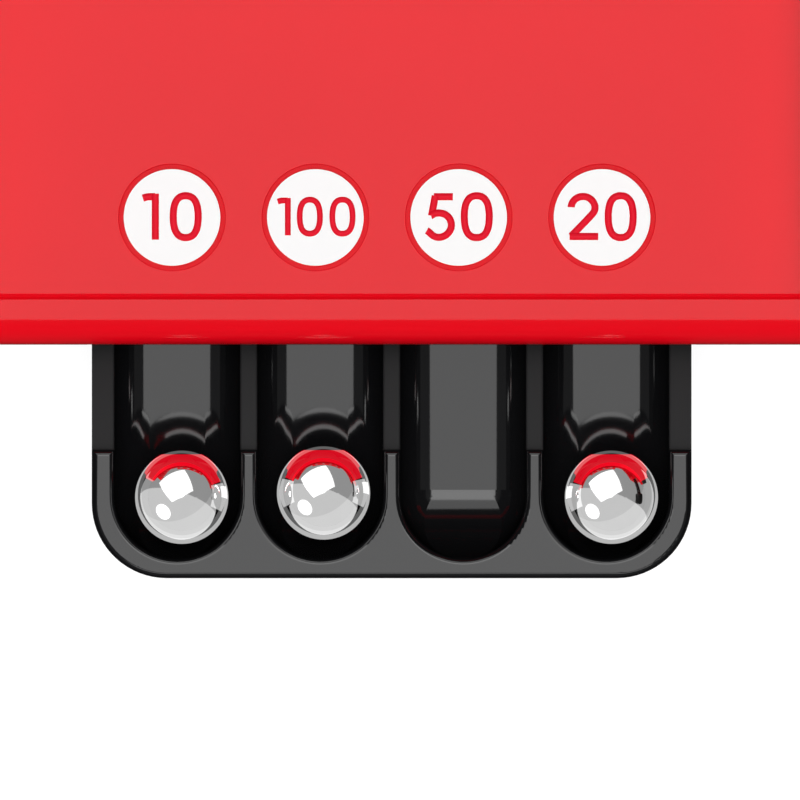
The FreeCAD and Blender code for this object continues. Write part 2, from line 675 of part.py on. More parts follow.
def make_spring(far):
    """Open coil of round wire round the rod, from the housing to the washer."""
    inset = S.wire_r.value + S.spring_gap.value
    near = (S.block_y + S.block_deep).value + inset
    length = far.value - inset - near
    helix = Part.makeHelix(length / S.spring_turns.value, length, S.spring_r.value)
    start = FreeCAD.Vector(S.spring_r.value, 0, 0)
    ring = Part.Wire(Part.makeCircle(S.wire_r.value, start, FreeCAD.Vector(0, 1, 0)))
    coil = Part.Wire(helix).makePipeShell([ring], True, True)
    spring = keep("plunger_spring", doc.addObject("Part::Feature", "plunger_spring"))
    spring.Shape = coil
    spring.Placement = FreeCAD.Placement(
        FreeCAD.Vector(ROD_X.value, near, ROD_Z.value),
        FreeCAD.Rotation(FreeCAD.Vector(1, 0, 0), -90))


def make_one_way_gate():
    bracket = new_body("gate_bracket")
    left, right = FENCE + 0.2, SHOOT_RIGHT + 0.4 + S.bracket_w
    top = RAIL_TOP + S.bracket_rise
    low, high = S.flap_y - S.bracket_deep * 0.5, S.flap_y + S.bracket_deep * 0.5
    pad(bracket, "XZ", low, high,
        [(left, RAIL_TOP), (left + S.bracket_w, RAIL_TOP), (left + S.bracket_w, top - S.bracket_bar),
         (right - S.bracket_w, top - S.bracket_bar), (right - S.bracket_w, RAIL_TOP),
         (right, RAIL_TOP), (right, top), (left, top)])
    pocket(bracket, "YZ", left - 1.0, right + 1.0,
           ring_loop(S.flap_y, FLAP_Z, S.gate_pin_r + 0.01))
    keep("gate_pin", cylinder("gate_pin", "X", (left - 0.5, S.flap_y, FLAP_Z),
                              right - left + 1.0, S.gate_pin_r))
    flap = new_body("gate_flap")
    bore = S.gate_pin_r + S.pin_run
    low_x, high_x = SHOOT_LEFT + S.flap_side, SHOOT_RIGHT - S.flap_side
    half, outer = S.flap_thick * 0.5, bore + S.barrel_wall
    pad(flap, "YZ", low_x, high_x, ring_loop(S.flap_y, FLAP_Z, outer))
    pad(flap, "YZ", low_x, high_x,
        rectangle(S.flap_y - half, S.flap_y + half, FLAP_Z - S.flap_h, FLAP_Z - bore - 0.2))
    pocket(flap, "YZ", low_x, high_x, ring_loop(S.flap_y, FLAP_Z, bore))


# ---------------------------------------------------------------- feet, stand and screws
def ground_block(name):
    """Everything below the table, as a block in the board frame."""
    ground = doc.addObject("Part::Box", name)
    ground.Length, ground.Width, ground.Height = 400.0, 600.0, 60.0
    lean = FreeCAD.Rotation(FreeCAD.Vector(1, 0, 0), -S.tilt.value)
    spot = FreeCAD.Vector(0, S.foot_y.value, -S.foot_drop.value)
    ground.Placement = FreeCAD.Placement(
        spot + lean.multVec(FreeCAD.Vector(-200, -300, -60)), lean)
    return ground


def make_front_feet():
    feet = [cylinder("foot_blank_%d" % n, "Z",
                     (MIDDLE + side * (OUTER_R - S.foot_in), S.foot_y, -S.foot_drop * 2.0),
                     S.foot_drop * 2.0, S.foot_r) for n, side in enumerate((-1, 1))]
    keep("front_feet", cut("front_feet", fuse("feet_blank", *feet), ground_block("ground_front")))


def make_rear_stand():
    axis = -S.stand_drop
    low, high = MIDDLE - S.stand_half, MIDDLE + S.stand_half
    foot = axis - S.stand_leg
    body = new_body("rear_stand")
    half = S.stand_thick * 0.5
    window = S.stand_half - S.window_side
    pad(body, "YZ", low, high, ring_loop(S.stand_y, axis, S.stand_barrel))
    pad(body, "YZ", low, high, rectangle(S.stand_y - half, S.stand_y + half, foot, axis - S.stand_web))
    pocket(body, "YZ", low, high, ring_loop(S.stand_y, axis, S.stand_pin_r + S.pin_run))
    pocket(body, "XZ", S.stand_y - S.stand_thick, S.stand_y + S.stand_thick,
           rectangle(MIDDLE - window, MIDDLE + window, foot + S.window_edge, axis - S.window_edge))
    reach = S.stand_half + S.lug_gap + S.lug_w
    keep("stand_pin", cylinder("stand_pin", "X", (MIDDLE - reach, S.stand_y, axis),
                               reach * 2.0, S.stand_pin_r))
    shoes = []
    for n, side in enumerate((-1, 1)):
        x = MIDDLE + side * (S.stand_half - S.shoe_in)
        y = S.stand_y
        shoes.append(box("shoe_blank_%d" % n, (x - S.shoe_half, x + S.shoe_half),
                         (y - S.shoe_thick * 0.5, y + S.shoe_thick * 0.5),
                         (foot - 6.0, foot + S.shoe_grip)))
    blank = cut("shoes_open", fuse("shoes_blank", *shoes),
                box("shoe_slot", (low - 1.0, high + 1.0),
                    (S.stand_y - half, S.stand_y + half), (foot, foot + 10.0)))
    keep("stand_shoes", cut("stand_shoes", blank, ground_block("ground_rear")))


def make_case_screws():
    pieces = []
    for n, (x, y) in enumerate(SCREWS):
        pieces.append(cylinder("screw_head_%d" % n, "Z", (x, y, -S.screw_head_h),
                               S.screw_head_h, S.screw_head_r))
        pieces.append(cylinder("screw_shank_%d" % n, "Z", (x, y, -S.screw_head_h * 0.5),
                               S.screw_len, S.screw_r))
    keep("case_screws", fuse("case_screws", *pieces))


# ---------------------------------------------------------------- finish
def check_document():
    doc.recompute()
    for thing in doc.Objects:
        faults = [word for word in thing.State if word in ("Invalid", "Error")]
        if faults:
            raise RuntimeError("%s: %s" % (thing.Name, faults))
    for name, thing in finished.items():
        if thing.Shape.isNull() or not thing.Shape.isValid():
            raise RuntimeError("%s has no valid shape" % name)
        if thing.Shape.Volume <= 0:
            raise RuntimeError("%s has no volume" % name)


def stand_up():
    """Lean the game back on its stand and set its origin under its middle, on the table."""
    lean = FreeCAD.Rotation(FreeCAD.Vector(1, 0, 0), S.tilt.value)
    tilted = FreeCAD.Placement(FreeCAD.Vector(), lean)
    whole = FreeCAD.BoundBox()
    for thing in finished.values():
        whole.add(thing.Shape.transformed(tilted.toMatrix(), True).optimalBoundingBox(False, False))
    shift = FreeCAD.Vector(-(whole.XMin + whole.XMax) / 2, -(whole.YMin + whole.YMax) / 2,
                           -whole.ZMin)
    placed = FreeCAD.Placement(shift, lean)
    for thing in finished.values():
        for place in "xyz":
            thing.setExpression("Placement.Base." + place, None)
        thing.Placement = placed.multiply(thing.Placement)
    print("origin shift: %.6f %.6f %.6f" % tuple(shift))
    print("size: %.2f %.2f %.2f" % (whole.XLength, whole.YLength, whole.ZLength))


def write_parts():
    doc.recompute()
    for name, thing in finished.items():
        shape = thing.Shape
        if not shape.isValid():
            raise RuntimeError("%s went bad" % name)
        shape.exportStep("parts/%s.step" % name)
        print("%-18s solids %2d volume %10.2f" % (name, len(shape.Solids), shape.Volume))


make_base_shell()
make_front_lip()
make_playfield()
make_rail_frame()
make_lane_fence()
make_arch_rail()
make_ball_tray()
make_tray_guides()
make_balls()
make_score_discs()
make_gate_bridge()
make_guide_walls()
make_pins()
make_plunger_housing()
make_plunger()
make_one_way_gate()
make_front_feet()
make_rear_stand()
make_case_screws()
check_document()
stand_up()
write_parts()
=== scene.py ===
import json
import math

import bmesh
import bpy
from mathutils import Matrix, Vector

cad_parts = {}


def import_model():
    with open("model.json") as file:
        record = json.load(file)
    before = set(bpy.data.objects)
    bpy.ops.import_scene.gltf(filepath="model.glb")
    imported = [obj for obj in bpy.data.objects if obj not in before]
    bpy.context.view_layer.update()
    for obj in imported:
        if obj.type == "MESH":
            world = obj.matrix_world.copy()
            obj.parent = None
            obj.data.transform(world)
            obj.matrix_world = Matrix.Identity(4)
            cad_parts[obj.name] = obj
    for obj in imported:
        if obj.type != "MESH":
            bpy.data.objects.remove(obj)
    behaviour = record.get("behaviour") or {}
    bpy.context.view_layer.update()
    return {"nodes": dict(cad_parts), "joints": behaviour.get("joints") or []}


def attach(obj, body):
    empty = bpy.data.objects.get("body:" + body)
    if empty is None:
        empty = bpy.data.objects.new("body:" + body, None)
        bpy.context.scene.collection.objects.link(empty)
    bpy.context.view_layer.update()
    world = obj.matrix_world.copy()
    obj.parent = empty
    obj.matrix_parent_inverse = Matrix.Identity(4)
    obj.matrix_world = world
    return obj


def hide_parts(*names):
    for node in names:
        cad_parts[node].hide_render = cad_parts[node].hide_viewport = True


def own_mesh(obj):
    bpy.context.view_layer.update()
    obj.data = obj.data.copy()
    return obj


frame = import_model()

# Looks of a tabletop bagatelle. Everything is made flat, in the board's own
# millimetres: X across, Y up the board from the lip's front face, Z square to
# the board from the lowest point of the case. set_in_place() then leans a piece
# back onto the board.

JOINTS = {joint["name"]: joint for joint in frame["joints"]}
NODES = frame["nodes"]
MM = 0.001

# ------------------------------------------------------------------ the board
ACROSS = Vector((1, 0, 0))
UP_BOARD = -Vector(JOINTS["tray_slide"]["axis"])
OFF_BOARD = ACROSS.cross(UP_BOARD)
TILT = math.atan2(UP_BOARD.z, UP_BOARD.y)


def reach(node, way):
    """How far a node goes along a direction: lowest and highest, in metres."""
    found = [vertex.co.dot(way) for vertex in NODES[node].data.vertices]
    return min(found), max(found)


BOARD_ZERO = (ACROSS * sum(reach("ball_tray", ACROSS)) / 2
              + UP_BOARD * reach("front_lip", UP_BOARD)[0]
              + OFF_BOARD * reach("base_shell", OFF_BOARD)[0])
LEAN = Matrix((ACROSS, UP_BOARD, OFF_BOARD)).transposed().to_4x4()
BOARD = Matrix.Translation(BOARD_ZERO) @ LEAN @ Matrix.Scale(MM, 4)
FLAT = BOARD.inverted()


def flat_box(node):
    """Lowest and highest corner of a CAD node in the board's millimetres."""
    points = [FLAT @ vertex.co for vertex in NODES[node].data.vertices]
    return (Vector([min(point[axis] for point in points) for axis in range(3)]),
            Vector([max(point[axis] for point in points) for axis in range(3)]))


FIELD_LOW, FIELD_HIGH = flat_box("rail_frame")
DECK = flat_box("playfield")[1].z
# Along the board: the step up to the tray's high rim, the start of the nests where
# the balls lie, and the line where the nose of the lip starts to fall away.
TRAY_STEP_Y = -12.3
LOW_WALL_TOP = flat_box("ball_tray")[1].z - 1.3
NEST_Y = -17.05
NOSE_Y = 3.05
DISCS = {name: flat_box("score_disc_" + name) for name in ("10", "100", "50", "20")}


# ------------------------------------------------------------------ finishes
# How far the shading of a surface leans towards the player, in degrees. In the nests
# it leans back instead, more at each step: degrees, and where along the board it
# starts and is full.
NOSE_LEAN = 12
NOSE_BLEND = 0.25
LANE_LEAN = 16
NEST_LEAN = 4
NEST_STEPS = ((9, 18.75, 19.00), (8, 20.2, 20.8))
WALL_EDGE = 0.12
RIM_EDGE = 0.05
RED_GLOSS = 0.20
BEAD_GLOSS = 0.09


class Wire:
    """A shader value. Sums on it add Math nodes to its finish."""

    def __init__(self, finish, socket):
        self.finish = finish
        self.socket = socket

    def _sum(self, operation, first, second):
        return self.finish.node("ShaderNodeMath", {"operation": operation}, {0: first, 1: second})

    def __add__(self, other):
        return self._sum("ADD", self, other)

    def __radd__(self, other):
        return self._sum("ADD", other, self)

    def __sub__(self, other):
        return self._sum("SUBTRACT", self, other)

    def __rsub__(self, other):
        return self._sum("SUBTRACT", other, self)

    def __mul__(self, other):
        return self._sum("MULTIPLY", self, other)

    def __rmul__(self, other):
        return self._sum("MULTIPLY", other, self)

    def above(self, level):
        return self._sum("GREATER_THAN", self, level)


class Finish:
    """A material on the Principled shader, with patterns in board millimetres."""

    def __init__(self, name, **constants):
        self.material = bpy.data.materials.new(name)
        self.material.use_nodes = True
        self.tree = self.material.node_tree
        self.shader = self.tree.nodes["Principled BSDF"]
        for socket, value in constants.items():
            self.set(socket.replace("_", " "), value)

    def set(self, socket, value):
        self._give(self.shader.inputs[socket], value)

    def _give(self, socket, value):
        if isinstance(value, Wire):
            self.tree.links.new(value.socket, socket)
        else:
            socket.default_value = value

    def node(self, kind, settings=None, values=None, out=0):
        made = self.tree.nodes.new(kind)
        for name, value in (settings or {}).items():
            setattr(made, name, value)
        for name, value in (values or {}).items():
            self._give(made.inputs[name], value)
        return Wire(self, made.outputs[out])

    def place(self):
        """Object coordinates turned into the board's millimetres."""
        spot = self.node("ShaderNodeTexCoord", out="Object")
        return self.node("ShaderNodeMapping", {"vector_type": "TEXTURE"},
                         {"Vector": spot, "Location": BOARD_ZERO, "Rotation": (TILT, 0, 0),
                          "Scale": (MM, MM, MM)})

    def noise(self, place, scale, detail=3.0, rough=0.55, stretch=(1, 1, 1)):
        where = self.node("ShaderNodeMapping", {}, {"Vector": place, "Scale": stretch})
        return self.node("ShaderNodeTexNoise", {},
                         {"Vector": where, "Scale": scale, "Detail": detail, "Roughness": rough})

    def split(self, place):
        made = self.node("ShaderNodeSeparateXYZ", {}, {"Vector": place})
        return [Wire(self, socket) for socket in made.socket.node.outputs]

    def mix(self, share, first, second):
        return self.node("ShaderNodeMix", {"data_type": "RGBA"}, {0: share, 6: first, 7: second},
                         out=2)

    def ramp(self, value, low, high):
        return self.node("ShaderNodeMapRange", {"clamp": True},
                         {"Value": value, "From Min": low, "From Max": high})

    def bump(self, height, strength, depth_mm):
        """depth_mm is the height of a full step of the pattern."""
        self.set("Normal", self.node("ShaderNodeBump", {},
                                     {"Height": height, "Strength": strength,
                                      "Distance": depth_mm * MM}))

    def leaning(self, degrees):
        """The surface's own direction, tipped forwards by some degrees."""
        facing = self.node("ShaderNodeNewGeometry", out="Normal")
        return self.node("ShaderNodeVectorRotate", {"rotation_type": "X_AXIS"},
                         {"Vector": facing, "Angle": degrees * math.radians(1)})

    def lean_under_bump(self, degrees):
        bump = self.shader.inputs["Normal"].links[0].from_node
        self._give(bump.inputs["Normal"], self.leaning(degrees))


def red_plastic(name, light, dark, gloss=RED_GLOSS, nose=False):
    """Glossy crimson moulding: a faint orange peel, hairlines and handled patches. The nose
    of the lip is shaded as if it fell away a little before its round edge."""
    made = Finish(name, Specular_IOR_Level=gloss)
    place = made.place()
    cloud = made.noise(place, 0.035, 4.0)
    peel = made.noise(place, 1.6, 2.0)
    hair = made.noise(place, 3.0, 2.0, stretch=(1.0, 0.03, 1.0))
    made.set("Base Color", made.mix(cloud, dark, light))
    made.set("Roughness", 0.11 + 0.04 * cloud + 0.02 * hair)
    made.bump(peel + 0.3 * hair, 0.10, 0.02)
    if nose:
        up = made.split(place)[1]
        made.lean_under_bump(
            NOSE_LEAN * made.ramp(0 - up, -NOSE_Y - NOSE_BLEND, -NOSE_Y + NOSE_BLEND))
    return made


def black_tray_plastic():
    """Polished black moulding; the tops of the low walls are left satin by the tool.

    The floors of the lanes are shaded as if they fell a little towards their ends and
    rose again in the nest. The mesh is left as it is.
    """
    made = Finish("black_tray_plastic")
    place = made.place()
    up, off = made.split(place)[1:]
    on_wall = off.above(LOW_WALL_TOP - WALL_EDGE)
    satin = on_wall * up.above(TRAY_STEP_Y - RIM_EDGE)
    cloud = made.noise(place, 0.12, 3.0)
    made.set("Base Color", made.mix(cloud, (0.0030, 0.0031, 0.0036, 1),
                                    (0.0046, 0.0046, 0.0050, 1)))
    made.set("Roughness", 0.075 + 0.03 * cloud + satin * 0.62)
    run = up.above(NEST_Y)
    back = NEST_LEAN
    for lean, starts, full in NEST_STEPS:
        back = back + lean * made.ramp(0 - up, starts, full)
    made.set("Normal", made.leaning((1 - on_wall) * (run * LANE_LEAN - (1 - run) * back)))
    return made


def black_case_plastic():
    """Black shell with a fine spark-eroded grain."""
    made = Finish("black_case_plastic")
    place = made.place()
    cloud = made.noise(place, 0.05, 3.0)
    grain = made.noise(place, 5.0, 3.0, 0.7)
    made.set("Base Color", made.mix(cloud, (0.0075, 0.0075, 0.0080, 1),
                                    (0.0120, 0.0120, 0.0125, 1)))
    made.set("Roughness", 0.38 + 0.10 * cloud + 0.06 * grain)
    made.bump(grain, 0.35, 0.03)
    return made


def rubber():
    """Matt moulded rubber, dusty where it is handled."""
    made = Finish("rubber")
    place = made.place()
    dust = made.noise(place, 0.6, 5.0, 0.7)
    grain = made.noise(place, 7.0, 2.0)
    made.set("Base Color", made.mix(made.ramp(dust, 0.45, 0.8), (0.012, 0.012, 0.012, 1),
                                    (0.040, 0.039, 0.037, 1)))
    made.set("Roughness", 0.72 + 0.15 * dust)
    made.bump(grain, 0.3, 0.03)
    return made


def steel(name, colour, rough, stretch, scale=1.2):
    """Plated steel with the fine lines left by drawing or rolling."""
    made = Finish(name, Metallic=1.0)
    place = made.place()
    lines = made.noise(place, scale, 3.0, stretch=stretch)
    cloud = made.noise(place, 0.25, 3.0)
    darker = tuple(0.82 * part for part in colour) + (1,)
    made.set("Base Color", made.mix(cloud, darker, tuple(colour) + (1,)))
    made.set("Roughness", rough + 0.10 * lines + 0.06 * cloud)
    made.bump(lines, 0.12, 0.01)
    return made


def ball_steel():
    """Mirror polished bearing steel with the faintest haze and hairlines."""
    made = Finish("ball_steel", Metallic=1.0)
    place = made.place()
    haze = made.noise(place, 0.5, 3.0)
    hair = made.noise(place, 2.5, 2.0, stretch=(1.0, 0.2, 0.6))
    made.set("Base Color", made.mix(haze, (0.90, 0.90, 0.90, 1), (0.94, 0.94, 0.935, 1)))
    made.set("Roughness", 0.045 + 0.03 * haze)
    made.bump(hair, 0.02, 0.003)
    return made


def white_vinyl():
    """Smooth white printed label."""
    made = Finish("white_vinyl")
    place = made.place()
    cloud = made.noise(place, 0.3, 3.0)
    grain = made.noise(place, 6.0, 2.0)
    made.set("Base Color", made.mix(cloud, (0.93, 0.93, 0.925, 1), (0.96, 0.96, 0.96, 1)))
    made.set("Roughness", 0.36 + 0.08 * cloud)
    made.bump(grain, 0.05, 0.006)
    return made


def ink(name, light, dark):
    """Screen-printed ink, a little uneven in tone."""
    made = Finish(name, Specular_IOR_Level=0.12)
    place = made.place()
    cloud = made.noise(place, 0.9, 4.0)
    made.set("Base Color", made.mix(cloud, dark, light))
    made.set("Roughness", 0.42 + 0.12 * cloud)
    made.bump(made.noise(place, 8.0, 2.0), 0.08, 0.006)
    return made


BOARD_REDS = ((0.815, 0.0026, 0.0110, 1), (0.770, 0.0016, 0.0085, 1))
# The bead's reds are the board's reds painted darker: painted shade round the edge of each disc.
BEAD_SHADED_REDS = ((0.640, 0.0020, 0.0090, 1), (0.600, 0.0014, 0.0070, 1))
RED = red_plastic("red_plastic", *BOARD_REDS)
LIP_RED = red_plastic("lip_red", *BOARD_REDS, nose=True)
BEAD_SHADED_RED = red_plastic("red_bead_painted_shade", *BEAD_SHADED_REDS, gloss=BEAD_GLOSS)
TRAY_BLACK = black_tray_plastic()
CASE_BLACK = black_case_plastic()
RUBBER = rubber()
NAIL_STEEL = steel("nail_steel", (0.62, 0.61, 0.58), 0.20, (1, 1, 0.15))
ROD_STEEL = steel("rod_steel", (0.66, 0.66, 0.65), 0.16, (1, 0.05, 1))
STRIP_STEEL = steel("strip_steel", (0.60, 0.60, 0.60), 0.24, (0.1, 0.1, 2.0))
SPRING_STEEL = steel("spring_steel", (0.45, 0.45, 0.46), 0.26, (1, 1, 1), 4.0)
SCREW_STEEL = steel("screw_steel", (0.50, 0.50, 0.49), 0.30, (1, 1, 1), 2.0)
BALL = ball_steel()
VINYL = white_vinyl()
RED_INK = ink("red_ink", (0.700, 0.0050, 0.022, 1), (0.640, 0.0030, 0.017, 1))
WHITE_INK = ink("white_ink", (0.86, 0.86, 0.85, 1), (0.78, 0.78, 0.77, 1))

CAD_FINISH = {
    LIP_RED: ("front_lip",),
    RED: ("playfield", "rail_frame", "lane_fence", "gate_bridge",
          "guide_wall_left", "guide_wall_right", "plunger_housing"),
    TRAY_BLACK: ("ball_tray", "tray_guide_left", "tray_guide_right"),
    CASE_BLACK: ("base_shell", "plunger_knob", "rear_stand", "gate_bracket"),
    STRIP_STEEL: ("arch_rail", "gate_flap"),
    NAIL_STEEL: ("playfield_pins",),
    ROD_STEEL: ("plunger_rod", "plunger_washer", "gate_pin", "stand_pin"),
    SCREW_STEEL: ("case_screws",),
    SPRING_STEEL: ("plunger_spring",),
    RUBBER: ("front_feet", "stand_shoes", "plunger_tip"),
    BALL: ("ball_10", "ball_100", "ball_20"),
    VINYL: ("score_disc_10", "score_disc_100", "score_disc_50", "score_disc_20"),
}
for finish, nodes in CAD_FINISH.items():
    for node in nodes:
        for slot in NODES[node].material_slots:
            slot.material = finish.material


# ------------------------------------------------------------------ modelling
def deselect():
    if bpy.context.object and bpy.context.object.mode != "OBJECT":
        bpy.ops.object.mode_set(mode="OBJECT")
    bpy.ops.object.select_all(action="DESELECT")


def take(piece):
    """Makes one piece the selected and active one."""
    deselect()
    piece.select_set(True)
    bpy.context.view_layer.objects.active = piece
    return piece


def edit(piece):
    take(piece)
    bpy.ops.object.mode_set(mode="EDIT")
    bpy.ops.mesh.select_all(action="DESELECT")


def done():
    bpy.ops.object.mode_set(mode="OBJECT")


def choose(piece, test):
    """In edit mode, selects only the faces whose middle and normal pass the test."""
    bpy.ops.mesh.select_mode(type="FACE")
    bpy.ops.mesh.select_all(action="DESELECT")
    mesh = bmesh.from_edit_mesh(piece.data)
    for face in mesh.faces:
        face.select = test(face.calc_center_median(), face.normal)
    mesh.select_flush_mode()
    bmesh.update_edit_mesh(piece.data)


def apply_all(piece):
    take(piece)
    bpy.ops.object.transform_apply(location=True, rotation=True, scale=True)
    for modifier in list(piece.modifiers):
        bpy.ops.object.modifier_apply(modifier=modifier.name)


def join(name, pieces):
    deselect()
    for piece in pieces:
        piece.select_set(True)
    bpy.context.view_layer.objects.active = pieces[0]
    if len(pieces) > 1:
        bpy.ops.object.join()
    pieces[0].name = name
    return pieces[0]


def set_in_place(piece, finish, body):
    """Leans a flat-made piece onto the board and gives it finish, body and slot."""
    take(piece)
    bpy.ops.object.transform_apply(location=True, rotation=True, scale=True)
    piece.data.transform(BOARD)
    piece.data.materials.clear()
    piece.data.materials.append(finish.material)
    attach(piece, body)
    return piece


# ------------------------------------------------------------------ printing
INK_THICK = 0.03
INK_STEP = 0.01
STROKE = 0.84
FIGURE_HIGH = 5.6

# Pen strokes of the numerals, in millimetres about the middle of a numeral 5.6
# high. A knot is x, y and, where the pen runs through it in a curve, the
# direction and pull of its handle.
NUMERALS = {
    "0": [[(0, 2.45, 0.95, 0), (1.46, 0, 0, -1.72), (0, -2.45, -0.95, 0), (-1.46, 0, 0, 1.72)]],
    "1": [[(-0.92, 2.16), (-0.45, 2.30, 0.26, 0.05), (0.54, 2.34)], [(0.54, 2.69), (0.54, -2.69)]],
    "2": [[(-1.36, 1.10, 0.05, 0.75), (0.06, 2.36, 0.80, 0), (1.42, 1.10, 0, -0.55),
           (0.85, 0.02, -0.30, -0.34), (-1.36, -2.28)], [(-1.55, -2.32), (1.80, -2.32)]],
    "5": [[(1.70, 2.33), (-0.52, 2.33)], [(-0.36, 2.45), (-0.80, 0.10)],
          [(-0.86, 0.12), (0.10, 0.42, 0.80, 0), (1.52, -0.98, 0, -0.80),
           (0.06, -2.42, -0.75, 0), (-1.36, -1.62)]],
}
CLOSED = ("0",)


def pen_line(name, knots, closed, width, thick):
    """A flat raised line of ink along a pen stroke, as a mesh."""
    nib = bpy.data.curves.new(name + "_nib", "CURVE")
    corner = nib.splines.new("POLY")
    corner.points.add(3)
    for point, (x, y) in zip(corner.points, ((-1, -1), (1, -1), (1, 1), (-1, 1))):
        point.co = (x * width / 2, y * thick / 2, 0, 1)
    corner.use_cyclic_u = True
    nib_piece = bpy.data.objects.new(name + "_nib", nib)
    bpy.context.scene.collection.objects.link(nib_piece)
    line = bpy.data.curves.new(name, "CURVE")
    line.dimensions = "3D"
    line.twist_mode = "Z_UP"
    line.bevel_mode = "OBJECT"
    line.bevel_object = nib_piece
    line.use_fill_caps = True
    line.resolution_u = 16
    path = line.splines.new("BEZIER")
    path.bezier_points.add(len(knots) - 1)
    path.use_cyclic_u = closed
    for point, knot in zip(path.bezier_points, knots):
        spot = Vector((knot[0], knot[1], 0))
        pull = Vector((knot[2], knot[3], 0)) if len(knot) > 2 else None
        point.co = spot
        if pull:
            point.handle_left_type = point.handle_right_type = "FREE"
            point.handle_left = spot - pull
            point.handle_right = spot + pull
        else:
            point.handle_left_type = point.handle_right_type = "VECTOR"
    piece = bpy.data.objects.new(name, line)
    bpy.context.scene.collection.objects.link(piece)
    take(piece)
    bpy.ops.object.convert(target="MESH")
    piece = bpy.context.object
    bpy.data.objects.remove(nib_piece)
    return piece


def numeral(name, figure, x, y, height):
    """One numeral, middle at x and y, standing on the top face of its disc."""
    scale = height / FIGURE_HIGH
    strokes = [pen_line("%s_%d" % (name, n), knots, figure in CLOSED, STROKE,
                        INK_THICK + INK_STEP * n)
               for n, knots in enumerate(NUMERALS[figure])]
    piece = join(name, strokes)
    piece.data.transform(Matrix.Translation((x, y, 0)) @ Matrix.Diagonal((scale, scale, 1, 1)))
    return piece


# Middle of each numeral from the middle of its disc, and the height of the figures.
PRINTED = {"10": (5.6, (("1", -2.49), ("0", 1.60))),
           "100": (4.55, (("1", -3.66), ("0", -0.65), ("0", 3.17))),
           "50": (5.6, (("5", -2.38), ("0", 2.11))),
           "20": (5.6, (("2", -2.25), ("0", 2.18)))}
NUMERAL_RISE = 0.09


def print_discs():
    for label, (height, figures) in PRINTED.items():
        low, high = DISCS[label]
        middle = (low + high) / 2
        made = [numeral("figure_%s_%d" % (label, n), figure, middle.x + offset,
                        middle.y + NUMERAL_RISE, height)
                for n, (figure, offset) in enumerate(figures)]
        piece = join("numerals_" + label, made)
        piece.data.transform(Matrix.Translation((0, 0, high.z + INK_THICK / 2)))
        set_in_place(piece, RED_INK, "case")


BEAD_OUT = 0.34
BEAD_WIDE = 0.31
BEAD_HIGH = 0.16
BEAD_SUNK = 0.02


def disc_surrounds():
    """A low moulded bead round each disc, so that its edge can't be picked up. Its red is the
    board's red painted darker, as painted shade round the disc's edge.
    """
    for label, (low, high) in DISCS.items():
        middle, radius = (low + high) / 2, (high.x - low.x) / 2
        deselect()
        bpy.ops.mesh.primitive_torus_add(
            major_segments=96, minor_segments=16, major_radius=radius + BEAD_OUT,
            minor_radius=BEAD_WIDE, location=(middle.x, middle.y, DECK))
        piece = bpy.context.object
        piece.scale = (1, 1, BEAD_HIGH)
        apply_all(piece)
        edit(piece)
        bpy.ops.mesh.select_all(action="SELECT")
        bpy.ops.mesh.bisect(plane_co=(0, 0, DECK - BEAD_SUNK), plane_no=(0, 0, 1), use_fill=True,
                            clear_inner=True)
        done()
        bpy.ops.object.shade_smooth_by_angle(angle=math.radians(50))
        piece.name = "disc_surround_" + label
        set_in_place(piece, BEAD_SHADED_RED, "case")


# ------------------------------------------------------------------ the field's print
STRIPES = ((50.0, 1.1), (47.6, 0.5))
STRIPE_TURN = 74
SHOOTER_X = 57.5
CHEVRON_Y = (72, 92, 112, 132)
CHEVRON_WIDE, CHEVRON_DEEP, CHEVRON_STROKE = 3.4, 2.6, 0.9
END_RADIUS = 62.5
ARCH_MIDDLE = Vector(((FIELD_LOW.x + FIELD_HIGH.x) / 2, FIELD_HIGH.y - END_RADIUS))


def arch_stripe(radius, width):
    """A printed line that follows the round end of the field."""
    turn = math.radians(STRIPE_TURN)
    pull = 4 / 3 * math.tan(turn / 4) * radius
    knots = []
    for part in (-1, 0, 1):
        side, rise = math.sin(part * turn), math.cos(part * turn)
        knots.append((ARCH_MIDDLE.x + side * radius, ARCH_MIDDLE.y + rise * radius,
                      rise * pull, -side * pull))
    return pen_line("stripe_%d" % radius, knots, False, width, INK_THICK)


def print_field():
    made = [arch_stripe(radius, width) for radius, width in STRIPES]
    for y in CHEVRON_Y:
        made += [pen_line("chevron_%d_%d" % (y, side),
                          [(SHOOTER_X + side * CHEVRON_WIDE, y - CHEVRON_DEEP), (SHOOTER_X, y)],
                          False, CHEVRON_STROKE, INK_THICK) for side in (-1, 1)]
    piece = join("field_print", made)
    piece.data.transform(Matrix.Translation((0, 0, DECK + INK_THICK / 2)))
    set_in_place(piece, WHITE_INK, "case")


# ------------------------------------------------------------------ plunger knob
# Steps along the knob from its front: how far back, and how wide. The grip is step 4.
KNOB_STEPS = ((0.0, 4.1), (0.5, 5.2), (1.2, 5.72), (2.0, 5.9), (9.3, 5.9), (10.2, 5.65),
              (10.8, 5.0), (11.0, 4.3), (11.7, 3.35), (13.0, 2.95))
FLUTES = 16
FLUTE_EDGE, FLUTE_DEEP = 0.22, 0.38
FRONT_LAND, DISH_EDGE, DISH_DEEP = 0.9, 0.6, 0.45
KNOB_BEVEL = 0.10


